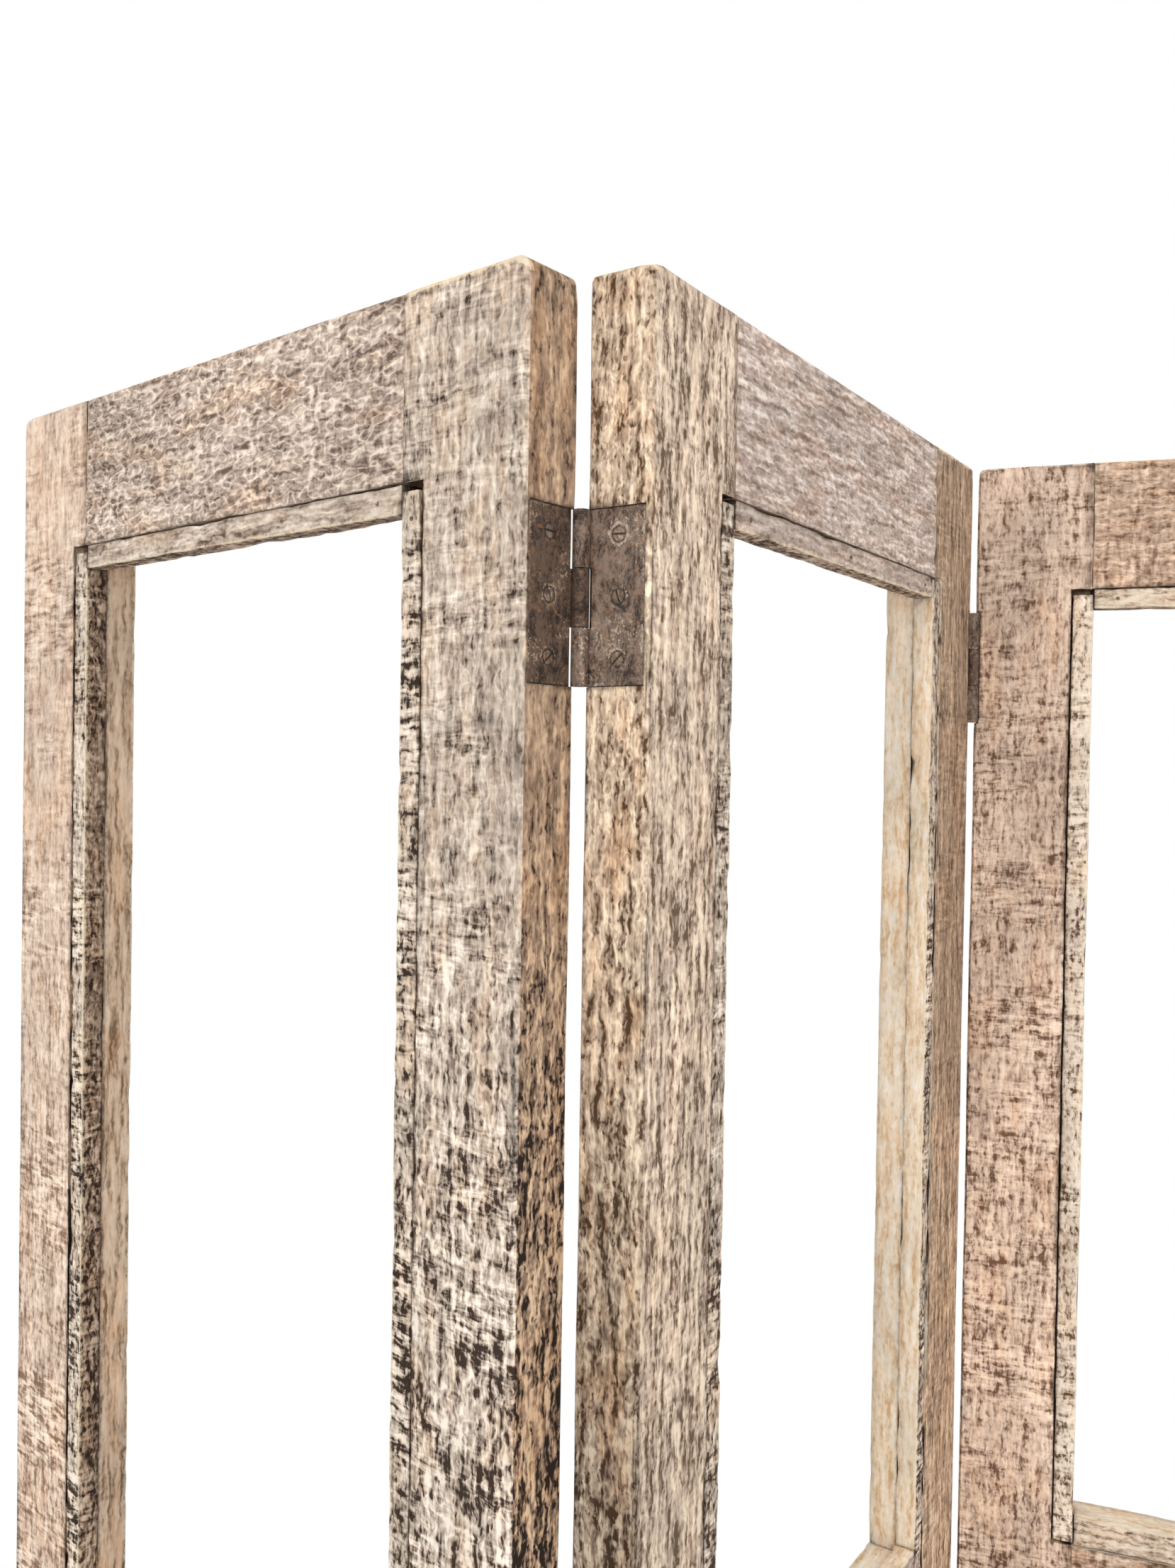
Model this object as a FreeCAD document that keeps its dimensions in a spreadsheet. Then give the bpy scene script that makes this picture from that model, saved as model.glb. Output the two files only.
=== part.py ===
import FreeCAD, Part
import os
import re
import Sketcher

# Folding room divider of three open wooden frames joined by butt hinges.
# Lengths are millimetres and angles degrees. The screen stands on Z = 0 with Z up.
# The viewer stands on the -Y side and +X runs to the right. The origin lies on the
# floor under the middle of the opened screen.
#
# Each panel has its own frame: X from its left edge, Y from its front face to its
# back, Z up from the floor. The left joint folds about an axis behind the panels,
# the right joint about an axis in front of them, so the screen closes like a Z.

SIZES = {
    # One panel
    "panel_width": 450,
    "panel_height": 1780,
    "frame_thickness": 34,
    "stile_width": 79,
    "top_rail_height": 90,
    "mid_rail_height": 84,
    "mid_rail_level": 915,
    "bottom_rail_height": 84,
    "leg_height": 140,
    "corner_radius": 4,
    "worn_corner_radius": 8,
    "arris_chamfer": 1.5,
    # Rebates and the lips that stand behind the stops
    "rebate_width": 14,
    "rebate_depth": 14.5,
    "head_lip": 5,
    "sill_lip": 15,
    # Stops round the openings
    "stop_width": 14,
    "stop_depth": 14,
    "head_stop_height": 14,
    "sill_stop_height": 20,
    "stop_shadow": 1,
    "stop_end_gap": 1.5,
    "stop_fit": 0.3,
    # Mortise and tenon joints
    "tenon_length": 50,
    "tenon_thickness": 12,
    "tenon_shoulder": 10,
    "top_shoulder": 25,
    "mortise_spare": 1,
    "mortise_fit": 0.1,
    # Butt hinges
    "hinge_inset": 146,
    "panel_gap": 3,
    "knuckle_offset": 2,
    "leaf_height": 80,
    "leaf_thickness": 1.6,
    "leaf_margin": 3,
    "leaf_fit": 0.3,
    "pin_radius": 2.4,
    "pin_clearance": 0.05,
    "knuckle_gap": 0.4,
    "knuckle_relief": 0.5,
    # Wood screws in the hinge leaves
    "screw_pitch": 28,
    "screw_length": 20,
    "screw_radius": 1.8,
    "screw_point": 4,
    "screw_tip_radius": 0.5,
    # What a countersink leaves of the leaf's thickness
    "leaf_land": 0.3,
    # The part of a turn that a leaf's rolled eye leaves open
    "eye_opening_turn": 57,
    # How far the screen stands open: each fold is the turn away from a straight screen
    "middle_turn": 55.7,
    "left_fold": 95.4,
    "right_fold": 74.9,
    # Cuts run this far past the face that they open
    "overrun": 1,
}
PANELS = ("left_panel", "middle_panel", "right_panel")
SIDES = ("left", "right")
HINGE_LEVELS = ("bottom", "middle", "top")
WORN_STILE = ("left_panel", "right")
SCREWS_PER_LEAF = 3
KNUCKLES = 3
SCREW_SIDES = 8
WHOLE_TURN = 360
TOUCH = 1e-4

# Heights that several pieces share, written in the sizes above
RAIL_HEIGHTS = {
    "top": ("panel_height - top_rail_height", "panel_height"),
    "mid": ("mid_rail_level", "mid_rail_level + mid_rail_height"),
    "bottom": ("leg_height", "leg_height + bottom_rail_height"),
}
OPENING_HEIGHTS = {
    "upper": (RAIL_HEIGHTS["mid"][1], RAIL_HEIGHTS["top"][0]),
    "lower": (RAIL_HEIGHTS["bottom"][1], RAIL_HEIGHTS["mid"][0]),
}
UPPER_SHOULDERS = {"top": "top_shoulder", "mid": "tenon_shoulder", "bottom": "tenon_shoulder"}
TENON_HEIGHTS = {
    level: (f"{low} + tenon_shoulder", f"{high} - {UPPER_SHOULDERS[level]}")
    for level, (low, high) in RAIL_HEIGHTS.items()
}

# Hinge sizes that follow from the pin and the sheet that the leaves are rolled from
BORE_RADIUS = "(pin_radius + pin_clearance)"
BARREL_RADIUS = f"({BORE_RADIUS} + leaf_thickness)"
LEAF_SINK = f"({BORE_RADIUS} - panel_gap / 2)"
HOUSING_DEPTH = f"({BARREL_RADIUS} - panel_gap / 2)"
RELIEF_DEPTH = f"({HOUSING_DEPTH} + knuckle_relief)"
RELIEF_WIDTH = f"({BARREL_RADIUS} + knuckle_relief - knuckle_offset)"
KNUCKLE_LENGTH = f"((leaf_height - {KNUCKLES - 1} * knuckle_gap) / {KNUCKLES})"
LOWEST_LEAF = "(hinge_inset - leaf_height / 2)"
HINGE_SPREAD = "(panel_height - 2 * hinge_inset)"
LEAF_REACH = "(frame_thickness - leaf_margin)"
SCREW_LINE = f"(({LEAF_REACH} + {RELIEF_WIDTH}) / 2)"
COUNTERSINK_DEPTH = "(leaf_thickness - leaf_land)"
SCREW_HEAD_RADIUS = f"(screw_radius + {COUNTERSINK_DEPTH} / cos({WHOLE_TURN / SCREW_SIDES / 2}))"
SCREW_REACH = f"({LEAF_SINK} + screw_length)"

doc = FreeCAD.newDocument("room_divider")
sheet = doc.addObject("Spreadsheet::Sheet", "Sizes")
for row, (alias, number) in enumerate(SIZES.items(), start=1):
    sheet.set(f"A{row}", str(number))
    sheet.setAlias(f"A{row}", alias)
doc.recompute()


def formula(text):
    """The text with each size's name turned into a reference to its cell."""
    return re.sub(r"[a-z_]+", lambda word: f"Sizes.{word[0]}" if word[0] in SIZES else word[0], text)


def value(text):
    """What the formula comes to with the sheet's present numbers."""
    return float(sheet.evalExpression(formula(text)))


def new_body(label):
    body = doc.addObject("PartDesign::Body", label)
    body.Label = label
    return body


def origin_feature(body, role):
    return next(feature for feature in body.Origin.OriginFeatures if feature.Role == role)


def new_sketch(body, name, plane, across="0", up="0", out="0"):
    """A sketch on an origin plane of the body, shifted along the plane's own three axes."""
    sketch = body.newObject("Sketcher::SketchObject", name)
    sketch.AttachmentSupport = [(origin_feature(body, plane), "")]
    sketch.MapMode = "FlatFace"
    for axis, shift in (("x", across), ("y", up), ("z", out)):
        sketch.setExpression(f"AttachmentOffset.Base.{axis}", formula(shift))
    return sketch


def hold(sketch, kind, *reference, size):
    """One dimension of a sketch, tied to the sheet."""
    index = sketch.addConstraint(Sketcher.Constraint(kind, *reference, value(size)))
    sketch.setExpression(f"Constraints[{index}]", formula(size))


def draw_outline(sketch, points, arcs=None):
    """A closed outline through points that are each held by their distances from the origin.

    The sides are straight, but arcs gives some of them, by number, a point on the way
    and a radius.
    """
    arcs = arcs or {}
    corners = [FreeCAD.Vector(value(x), value(y), 0) for x, y in points]
    sides = []
    for index, (start, end) in enumerate(zip(corners, corners[1:] + corners[:1])):
        if index in arcs:
            (x, y), radius = arcs[index]
            side = sketch.addGeometry(Part.Arc(start, FreeCAD.Vector(value(x), value(y), 0), end))
            hold(sketch, "Radius", side, size=radius)
        else:
            side = sketch.addGeometry(Part.LineSegment(start, end))
        starts_here = sketch.getPoint(side, 1).distanceToPoint(start) < TOUCH
        sides.append((side, 1, 2) if starts_here else (side, 2, 1))
    for (side, start, end), (next_side, next_start, _), (x, y) in zip(sides, sides[1:] + sides[:1], points):
        sketch.addConstraint(Sketcher.Constraint("Coincident", side, end, next_side, next_start))
        hold(sketch, "DistanceX", -1, 1, side, start, size=x)
        hold(sketch, "DistanceY", -1, 1, side, start, size=y)


def draw_rectangle(sketch, x_range, y_range):
    (x0, x1), (y0, y1) = x_range, y_range
    draw_outline(sketch, [(x0, y0), (x1, y0), (x1, y1), (x0, y1)])


def draw_circle(sketch, x, y, radius):
    center = FreeCAD.Vector(value(x), value(y), 0)
    ring = sketch.addGeometry(Part.Circle(center, FreeCAD.Vector(0, 0, 1), value(radius)))
    hold(sketch, "Radius", ring, size=radius)
    hold(sketch, "DistanceX", -1, 1, ring, 3, size=x)
    hold(sketch, "DistanceY", -1, 1, ring, 3, size=y)


def add_extrusion(body, kind, name, sketch, length, backward=False):
    """A Pad along the sketch's normal, or a Pocket against it, or either the other way."""
    feature = body.newObject(f"PartDesign::{kind}", name)
    feature.Profile = sketch
    feature.Reversed = backward
    feature.setExpression("Length", formula(length))
    return feature


def add_loft(body, kind, name, sketches):
    """A straight-sided AdditiveLoft or SubtractiveLoft through sketches with as many corners."""
    feature = body.newObject(f"PartDesign::{kind}", name)
    feature.Profile = sketches[0]
    feature.Sections = sketches[1:]
    feature.Ruled = True
    return feature


def repeat_up(body, name, feature, spread, count):
    """The feature repeated up the body, the copies spread over a height."""
    pattern = body.newObject("PartDesign::LinearPattern", name)
    pattern.Originals = [feature]
    pattern.Direction = (origin_feature(body, "Z_Axis"), [""])
    pattern.setExpression("Length", formula(spread))
    pattern.Occurrences = count
    body.Tip = pattern
    return pattern


def repeat_screws(body, feature):
    """One screw or screw hole repeated up its leaf and then at each hinge."""
    spreads = ((f"{SCREWS_PER_LEAF - 1} * screw_pitch", SCREWS_PER_LEAF), (HINGE_SPREAD, len(HINGE_LEVELS)))
    steps = []
    for spread, count in spreads:
        step = doc.addObject("PartDesign::LinearPattern", "ScrewStep")
        step.Direction = (origin_feature(body, "Z_Axis"), [""])
        step.setExpression("Length", formula(spread))
        step.Occurrences = count
        steps.append(step)
    pattern = body.newObject("PartDesign::MultiTransform", "Screws")
    pattern.Originals = [feature]
    pattern.Transformations = steps
    body.Tip = pattern


def edges_at(feature, longest="panel_height", **place):
    """Names of the feature's edges up to a length whose ends all lie at the given coordinates."""
    names = []
    for index, edge in enumerate(feature.Shape.Edges, start=1):
        ends = [vertex.Point for vertex in edge.Vertexes]
        if edge.Length > value(longest):
            continue
        if all(abs(getattr(end, axis) - value(at)) < TOUCH for end in ends for axis, at in place.items()):
            names.append(f"Edge{index}")
    return names


def soften(body, kind, property_name, size, feature, places):
    """A Fillet or Chamfer on the edges found at the given places."""
    doc.recompute()
    softened = body.newObject(f"PartDesign::{kind}", kind)
    softened.Base = (feature, [name for place in places for name in edges_at(feature, **place)])
    softened.setExpression(property_name, formula(size))
    return softened


def inward(side, distance):
    """X at a distance in from a panel's left or right edge."""
    return distance if side == "left" else f"panel_width - ({distance})"


def beyond(face, distance):
    """Y at a distance out past a panel's front or back face."""
    return f"-({distance})" if face == "front" else f"frame_thickness + ({distance})"


def make_stile(panel, side, hinge_face):
    """An upright: rebated round both openings, mortised for three rails, housed for hinges."""
    body = new_body(f"{panel}_{side}_stile")
    section = new_sketch(body, "Section", "XY_Plane")
    draw_rectangle(section, (inward(side, "0"), inward(side, "stile_width")), ("0", "frame_thickness"))
    post = add_extrusion(body, "Pad", "Post", section, "panel_height")
    outer_edge = inward(side, "0")
    top_corner = {"x": outer_edge, "z": "panel_height"}
    radius = "worn_corner_radius" if (panel, side) == WORN_STILE else "corner_radius"
    rounded = soften(body, "Fillet", "Radius", radius, post, [top_corner])
    long_edges = [{"x": outer_edge, "y": "0"}, {"x": outer_edge, "y": "frame_thickness"}]
    soften(body, "Chamfer", "Size", "arris_chamfer", rounded, long_edges)

    rebates = new_sketch(body, "Rebates", "XZ_Plane")
    for heights in OPENING_HEIGHTS.values():
        reach = inward(side, "stile_width - rebate_width"), inward(side, "stile_width + overrun")
        draw_rectangle(rebates, reach, heights)
    add_extrusion(body, "Pocket", "Rebate", rebates, "rebate_depth")

    mortises = new_sketch(body, "Mortises", "YZ_Plane", out=inward(side, "stile_width"))
    for low, high in TENON_HEIGHTS.values():
        cheeks = "rebate_depth - mortise_fit", "rebate_depth + tenon_thickness + mortise_fit"
        draw_rectangle(mortises, cheeks, (f"{low} - mortise_fit", f"{high} + mortise_fit"))
    add_extrusion(body, "Pocket", "Mortise", mortises, "tenon_length + mortise_spare", side == "right")

    if hinge_face:
        house_hinges(body, side, hinge_face)
    return body


def house_hinges(body, side, face):
    """Housings for three leaves in a stile's edge, deeper at the face to clear the knuckles."""
    outline = [
        ("-overrun", "overrun"),
        (RELIEF_DEPTH, "overrun"),
        (RELIEF_DEPTH, f"-{RELIEF_WIDTH}"),
        (HOUSING_DEPTH, f"-{RELIEF_WIDTH}"),
        (HOUSING_DEPTH, f"-{LEAF_REACH} - leaf_fit"),
        ("-overrun", f"-{LEAF_REACH} - leaf_fit"),
    ]
    housings = new_sketch(body, "Housings", "XY_Plane", out=f"{LOWEST_LEAF} - leaf_fit")
    draw_outline(housings, [(inward(side, depth), beyond(face, out)) for depth, out in outline])
    housing = add_extrusion(body, "Pocket", "Housing", housings, "leaf_height + 2 * leaf_fit", True)
    repeat_up(body, "HousingRow", housing, HINGE_SPREAD, len(HINGE_LEVELS))
    hole = sketch_screw(body, "ScrewHole", side, face, "0", "screw_radius")
    repeat_screws(body, add_extrusion(body, "Pocket", "PilotHole", hole, SCREW_REACH, side == "left"))


def sketch_screw(body, name, side, face, depth, radius, foot=LOWEST_LEAF):
    """A leaf's lowest screw cut across at a depth in from the stile's edge. Screws have flat
    sides, which keeps so small a piece light."""
    height = f"{foot} + (leaf_height - {SCREWS_PER_LEAF - 1} * screw_pitch) / 2"
    sketch = new_sketch(
        body, name, "YZ_Plane", across=beyond(face, f"-{SCREW_LINE}"), up=height, out=inward(side, depth)
    )
    turns = [index * WHOLE_TURN / SCREW_SIDES for index in range(SCREW_SIDES)]
    draw_outline(sketch, [(f"{radius} * cos({turn})", f"{radius} * sin({turn})") for turn in turns])
    return sketch


def make_rail(panel, level):
    """A cross rail between the stiles, with lips behind its stops and a tenon at each end."""
    body = new_body(f"{panel}_{level}_rail")
    low, high = RAIL_HEIGHTS[level]
    outline = [("0", low), ("0", high), ("frame_thickness", high), ("frame_thickness", low)]
    if level != "top":
        lip_top = f"{high} + sill_lip"
        outline[2:3] = [("rebate_depth", high), ("rebate_depth", lip_top), ("frame_thickness", lip_top)]
    if level != "bottom":
        lip_foot = f"{low} - head_lip"
        outline[-1:] = [("frame_thickness", lip_foot), ("rebate_depth", lip_foot), ("rebate_depth", low)]
    section = new_sketch(body, "Section", "YZ_Plane", out="stile_width")
    draw_outline(section, outline)
    board = add_extrusion(body, "Pad", "Board", section, "panel_width - 2 * stile_width")
    if level == "top":
        long_edges = [{"y": "0", "z": high}, {"y": "frame_thickness", "z": high}]
        soften(body, "Chamfer", "Size", "arris_chamfer", board, long_edges)
    tenons = new_sketch(body, "Tenons", "YZ_Plane", out="stile_width - tenon_length")
    draw_rectangle(tenons, ("rebate_depth", "rebate_depth + tenon_thickness"), TENON_HEIGHTS[level])
    add_extrusion(body, "Pad", "Tenon", tenons, "panel_width - 2 * stile_width + 2 * tenon_length")
    return body


def make_stop(panel, opening, place):
    """A loose strip set in the rebate, on one side, at the head or on the sill of an opening."""
    body = new_body(f"{panel}_{opening}_{place}_stop")
    sill, head = OPENING_HEIGHTS[opening]
    outer = "stile_width - rebate_width + stop_shadow"
    if place in SIDES:
        x_range = inward(place, outer), inward(place, f"{outer} + stop_width")
        z_range = f"{sill} + stop_end_gap", f"{head} - stop_end_gap"
    else:
        end = f"{outer} + stop_width + stop_fit"
        x_range = inward("left", end), inward("right", end)
    if place == "head":
        z_range = f"{head} - stop_fit - head_stop_height", f"{head} - stop_fit"
    if place == "sill":
        z_range = f"{sill} + stop_fit", f"{sill} + stop_fit + sill_stop_height"
    front = new_sketch(body, "Front", "XZ_Plane", out="stop_depth - rebate_depth")
    draw_rectangle(front, x_range, z_range)
    add_extrusion(body, "Pad", "Strip", front, "stop_depth", True)
    return body


def draw_leaf(sketch, side, face):
    """A leaf seen from above: its plate, rolled at the end into an eye round the pin."""
    opening = "eye_opening_turn"
    eye = {
        "outer_end": (BARREL_RADIUS, f"{opening} - 180"),
        "outer_middle": (BARREL_RADIUS, f"{opening} / 2"),
        "inner_end": (BORE_RADIUS, f"{opening} - 180"),
        "inner_middle": (BORE_RADIUS, f"{opening} / 2"),
    }
    spots = {
        name: (
            inward(side, f"-panel_gap / 2 - {radius} * cos({turn})"),
            beyond(face, f"knuckle_offset + {radius} * sin({turn})"),
        )
        for name, (radius, turn) in eye.items()
    }
    far_end = beyond(face, f"-{LEAF_REACH}")
    eye_start = beyond(face, "knuckle_offset")
    points = [
        (inward(side, HOUSING_DEPTH), far_end),
        (inward(side, HOUSING_DEPTH), eye_start),
        spots["outer_end"],
        spots["inner_end"],
        (inward(side, LEAF_SINK), eye_start),
        (inward(side, LEAF_SINK), far_end),
    ]
    arcs = {1: (spots["outer_middle"], BARREL_RADIUS), 3: (spots["inner_middle"], BORE_RADIUS)}
    draw_outline(sketch, points, arcs)


def make_leaf(joint, level, role, side, face):
    """One leaf: a plate rolled into knuckles round the pin and countersunk for three screws."""
    body = new_body(f"{joint}_{level}_hinge_{role}_leaf")
    foot = f"{LOWEST_LEAF} + {HINGE_LEVELS.index(level)} * {HINGE_SPREAD} / {len(HINGE_LEVELS) - 1}"
    section = new_sketch(body, "Section", "XY_Plane", out=foot)
    draw_leaf(section, side, face)
    add_extrusion(body, "Pad", "RolledPlate", section, "leaf_height")

    # The other leaf's knuckles turn in slots: two of them in an outer leaf, one in an inner
    first_slot = 0 if role == "outer" else 1
    slots = KNUCKLES // 2 + 1 - first_slot
    slot_foot = f"{foot} + {first_slot} * ({KNUCKLE_LENGTH} + knuckle_gap) - knuckle_gap"
    near_end = inward(side, f"-panel_gap / 2 - {BARREL_RADIUS} - overrun")
    slot_y = (
        beyond(face, f"knuckle_offset - {BARREL_RADIUS} - knuckle_relief"),
        beyond(face, f"knuckle_offset + {BARREL_RADIUS} + overrun"),
    )
    slot = new_sketch(body, "SlotSection", "XY_Plane", out=slot_foot)
    draw_rectangle(slot, (near_end, inward(side, f"{HOUSING_DEPTH} + overrun")), slot_y)
    cut = add_extrusion(body, "Pocket", "Slot", slot, f"{KNUCKLE_LENGTH} + 2 * knuckle_gap", True)
    repeat_up(body, "SlotRow", cut, f"{2 * (slots - 1)} * ({KNUCKLE_LENGTH} + knuckle_gap)", slots)

    hole = sketch_screw(body, "ScrewHole", side, face, "0", "screw_radius", foot)
    cut = add_extrusion(body, "Pocket", "Hole", hole, f"{HOUSING_DEPTH} + overrun", side == "left")
    holes = repeat_up(body, "HoleRow", cut, f"{SCREWS_PER_LEAF - 1} * screw_pitch", SCREWS_PER_LEAF)
    rims = {"longest": "screw_radius", "x": inward(side, LEAF_SINK)}
    soften(body, "Chamfer", "Size", COUNTERSINK_DEPTH, holes, [rims])
    return body


def make_pins(joint, side, face):
    """The pins of one joint's hinges, as long as the leaves are high."""
    body = new_body(f"{joint}_hinge_pins")
    body.AllowCompound = True
    section = new_sketch(body, "PinSection", "XY_Plane", out=LOWEST_LEAF)
    draw_circle(section, inward(side, "-panel_gap / 2"), beyond(face, "knuckle_offset"), "pin_radius")
    pin = add_extrusion(body, "Pad", "Pin", section, "leaf_height")
    repeat_up(body, "PinRow", pin, HINGE_SPREAD, len(HINGE_LEVELS))
    return body


def make_screws(label, side, face):
    """The countersunk wood screws along one hinged edge, head, neck, shank and tip in a row."""
    body = new_body(label)
    body.AllowCompound = True
    sections = [
        sketch_screw(body, "Head", side, face, LEAF_SINK, SCREW_HEAD_RADIUS),
        sketch_screw(body, "Neck", side, face, f"{LEAF_SINK} + {COUNTERSINK_DEPTH}", "screw_radius"),
        sketch_screw(body, "Shank", side, face, f"{SCREW_REACH} - screw_point", "screw_radius"),
        sketch_screw(body, "Tip", side, face, SCREW_REACH, "screw_tip_radius"),
    ]
    repeat_screws(body, add_loft(body, "AdditiveLoft", "Screw", sections))
    return body


def turned(angle, x, y):
    """A point of a panel's frame as seen when the panel is turned by the angle."""
    return (
        f"(({x}) * cos({angle}) - ({y}) * sin({angle}))",
        f"(({x}) * sin({angle}) + ({y}) * cos({angle}))",
    )


def panel_frames():
    """Placements of the three panels, with the opened screen centred on the origin."""
    angles = {
        "left_panel": "(middle_turn - left_fold)",
        "middle_panel": "middle_turn",
        "right_panel": "(middle_turn - right_fold)",
    }
    starts = {"middle_panel": ("0", "0")}
    for panel, side, face in (("left_panel", "left", "back"), ("right_panel", "right", "front")):
        other_side = "right" if side == "left" else "left"
        axis_y = beyond(face, "knuckle_offset")
        on_middle = turned(angles["middle_panel"], inward(side, "-panel_gap / 2"), axis_y)
        on_panel = turned(angles[panel], inward(other_side, "-panel_gap / 2"), axis_y)
        starts[panel] = tuple(f"({held} - {own})" for held, own in zip(on_middle, on_panel))
    middles = []
    for axis in range(2):
        reach = ", ".join(
            f"{starts[panel][axis]} + {turned(angles[panel], x, y)[axis]}"
            for panel in PANELS for x in ("0", "panel_width") for y in ("0", "frame_thickness")
        )
        middles.append(f"(min({reach}) + max({reach})) / 2")
    frames = {}
    for panel in PANELS:
        frame = doc.addObject("App::Placement", f"{panel}_frame")
        frame.setExpression("Placement.Base.x", formula(f"{starts[panel][0]} - {middles[0]}"))
        frame.setExpression("Placement.Base.y", formula(f"{starts[panel][1]} - {middles[1]}"))
        frame.setExpression("Placement.Rotation.Angle", formula(angles[panel]))
        frames[panel] = frame
    return frames


# Which edge of each panel is hinged, and the face that its knuckles stand at
HINGED_EDGES = {
    ("left_panel", "right"): "back",
    ("middle_panel", "left"): "back",
    ("middle_panel", "right"): "front",
    ("right_panel", "left"): "front",
}
frames = panel_frames()
bodies = {panel: [] for panel in PANELS}
for panel in PANELS:
    for side in SIDES:
        bodies[panel].append(make_stile(panel, side, HINGED_EDGES.get((panel, side))))
    for level in RAIL_HEIGHTS:
        bodies[panel].append(make_rail(panel, level))
    for opening in OPENING_HEIGHTS:
        for place in SIDES + ("head", "sill"):
            bodies[panel].append(make_stop(panel, opening, place))
for (panel, side), face in HINGED_EDGES.items():
    role = "inner" if panel == "middle_panel" else "outer"
    joint = side if role == "inner" else panel.removesuffix("_panel")
    for level in HINGE_LEVELS:
        bodies[panel].append(make_leaf(joint, level, role, side, face))
    if role == "inner":
        bodies[panel].append(make_pins(joint, side, face))
    bodies[panel].append(make_screws(f"{joint}_hinge_{role}_screws", side, face))
for panel, members in bodies.items():
    for body in members:
        body.setExpression("Placement", f"{frames[panel].Name}.Placement")
doc.recompute()

for item in doc.Objects:
    if {"Invalid", "Error"} & set(item.State):
        raise RuntimeError(f"{item.Label} failed: {item.State}")
os.makedirs("parts", exist_ok=True)
parts = [body for members in bodies.values() for body in members]
for body in parts:
    if body.Shape.isNull() or not body.Shape.isValid():
        raise RuntimeError(f"{body.Label} has no valid shape")
for body in parts:
    body.Shape.exportStep(os.path.join("parts", f"{body.Label}.step"))
print(len(parts), "parts written")
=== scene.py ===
"""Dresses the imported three-panel room divider in hewn, limed boards, rusty leaves, screws and brads."""
import math

import bmesh
import bpy
from mathutils import Matrix, Vector, kdtree, noise
from mathutils.bvhtree import BVHTree


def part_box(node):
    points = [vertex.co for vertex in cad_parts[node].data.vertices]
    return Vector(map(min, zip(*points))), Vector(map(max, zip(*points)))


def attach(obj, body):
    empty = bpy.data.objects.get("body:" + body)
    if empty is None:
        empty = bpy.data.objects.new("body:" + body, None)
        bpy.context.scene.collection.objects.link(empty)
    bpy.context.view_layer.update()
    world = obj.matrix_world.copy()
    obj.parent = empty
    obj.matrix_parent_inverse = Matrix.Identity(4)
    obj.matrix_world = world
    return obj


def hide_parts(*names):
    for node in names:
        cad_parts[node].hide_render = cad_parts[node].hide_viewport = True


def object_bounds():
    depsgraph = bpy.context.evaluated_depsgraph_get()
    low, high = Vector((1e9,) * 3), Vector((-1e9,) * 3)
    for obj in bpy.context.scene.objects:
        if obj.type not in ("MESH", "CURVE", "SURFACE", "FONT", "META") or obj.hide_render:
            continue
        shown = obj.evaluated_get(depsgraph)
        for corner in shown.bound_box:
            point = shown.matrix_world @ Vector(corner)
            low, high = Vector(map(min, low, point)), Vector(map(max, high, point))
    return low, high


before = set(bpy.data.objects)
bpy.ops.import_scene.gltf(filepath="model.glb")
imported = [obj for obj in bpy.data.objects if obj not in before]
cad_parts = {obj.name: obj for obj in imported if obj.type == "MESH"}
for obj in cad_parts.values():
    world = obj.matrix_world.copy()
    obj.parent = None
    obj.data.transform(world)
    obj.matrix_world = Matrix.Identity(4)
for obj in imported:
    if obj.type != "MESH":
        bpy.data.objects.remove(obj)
cad_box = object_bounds()

MM = 0.001
PANELS = ("left", "middle", "right")
OPENINGS = ("upper", "lower")
UP = Vector((0, 0, 1))

CAMERA_PLACE = (-0.17270, -0.75038, 1.55872)
CAMERA_LENS = 28.79
CAMERA_PITCH = math.radians(-0.896)
CAMERA_ROLL = math.radians(0.905)
FLOOR_RADIUS = 1.55

# The finishes change between these two levels
FADE_TOP, FADE_FOOT = 1.62, 1.15

# Boards and leaves. Distances between pieces are measured up to FAR, and to an arris up to ARRIS_REACH
FAR = 8 * MM
ARRIS_REACH = 20 * MM
BOARD_CUTS = (6 * MM, 9 * MM)
LEAF_CUTS = (3 * MM, 4 * MM)
BOARD_ARRIS = 0.7 * MM
LEAF_ARRIS = 0.3 * MM
# The next two set how close a let-in and a flush joint count to a seam, which sets how strong its grime and
# painted shade get
SEAM_DIRT_AND_SHADE = 1.2 * MM
FLUSH_JOINT = 1.9 * MM
PLANING = (0.45 * MM, 0.12 * MM)
BITE_DEPTH, BITE_WIDTH = 1.7 * MM, 4 * MM
PITTING = 0.1 * MM
EYE_RADIUS, EYE_BLEND = 6 * MM, 4 * MM
BORDER_MARGIN = 0.7 * MM

# Screws and brads
HEAD_RISE, HEAD_RIM = 0.55 * MM, 0.25 * MM
SLOT_WIDTH, SLOT_DEPTH = 0.9 * MM, 0.2 * MM
BRAD_RADIUS, BRAD_TIP, BRAD_HEIGHT = 1.4 * MM, 1.0 * MM, 1.2 * MM
BRAD_MARGIN = 34 * MM


# Camera, light and floor


def aim_camera():
    """The photograph's own view: close to the left joint, looking level and slightly rolled."""
    camera = bpy.data.objects.new("camera", bpy.data.cameras.new("camera"))
    camera.data.lens = CAMERA_LENS
    camera.data.sensor_width = 36
    camera.data.clip_start = 0.01
    pitch, roll = CAMERA_PITCH, CAMERA_ROLL
    forward = Vector((0, math.cos(pitch), math.sin(pitch)))
    level, raised = Vector((1, 0, 0)), Vector((0, -math.sin(pitch), math.cos(pitch)))
    right = math.cos(roll) * level + math.sin(roll) * raised
    above = math.cos(roll) * raised - math.sin(roll) * level
    turn = Matrix((right, above, -forward)).transposed().to_4x4()
    camera.matrix_world = Matrix.Translation(CAMERA_PLACE) @ turn
    bpy.context.scene.collection.objects.link(camera)
    bpy.context.scene.camera = camera


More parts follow.
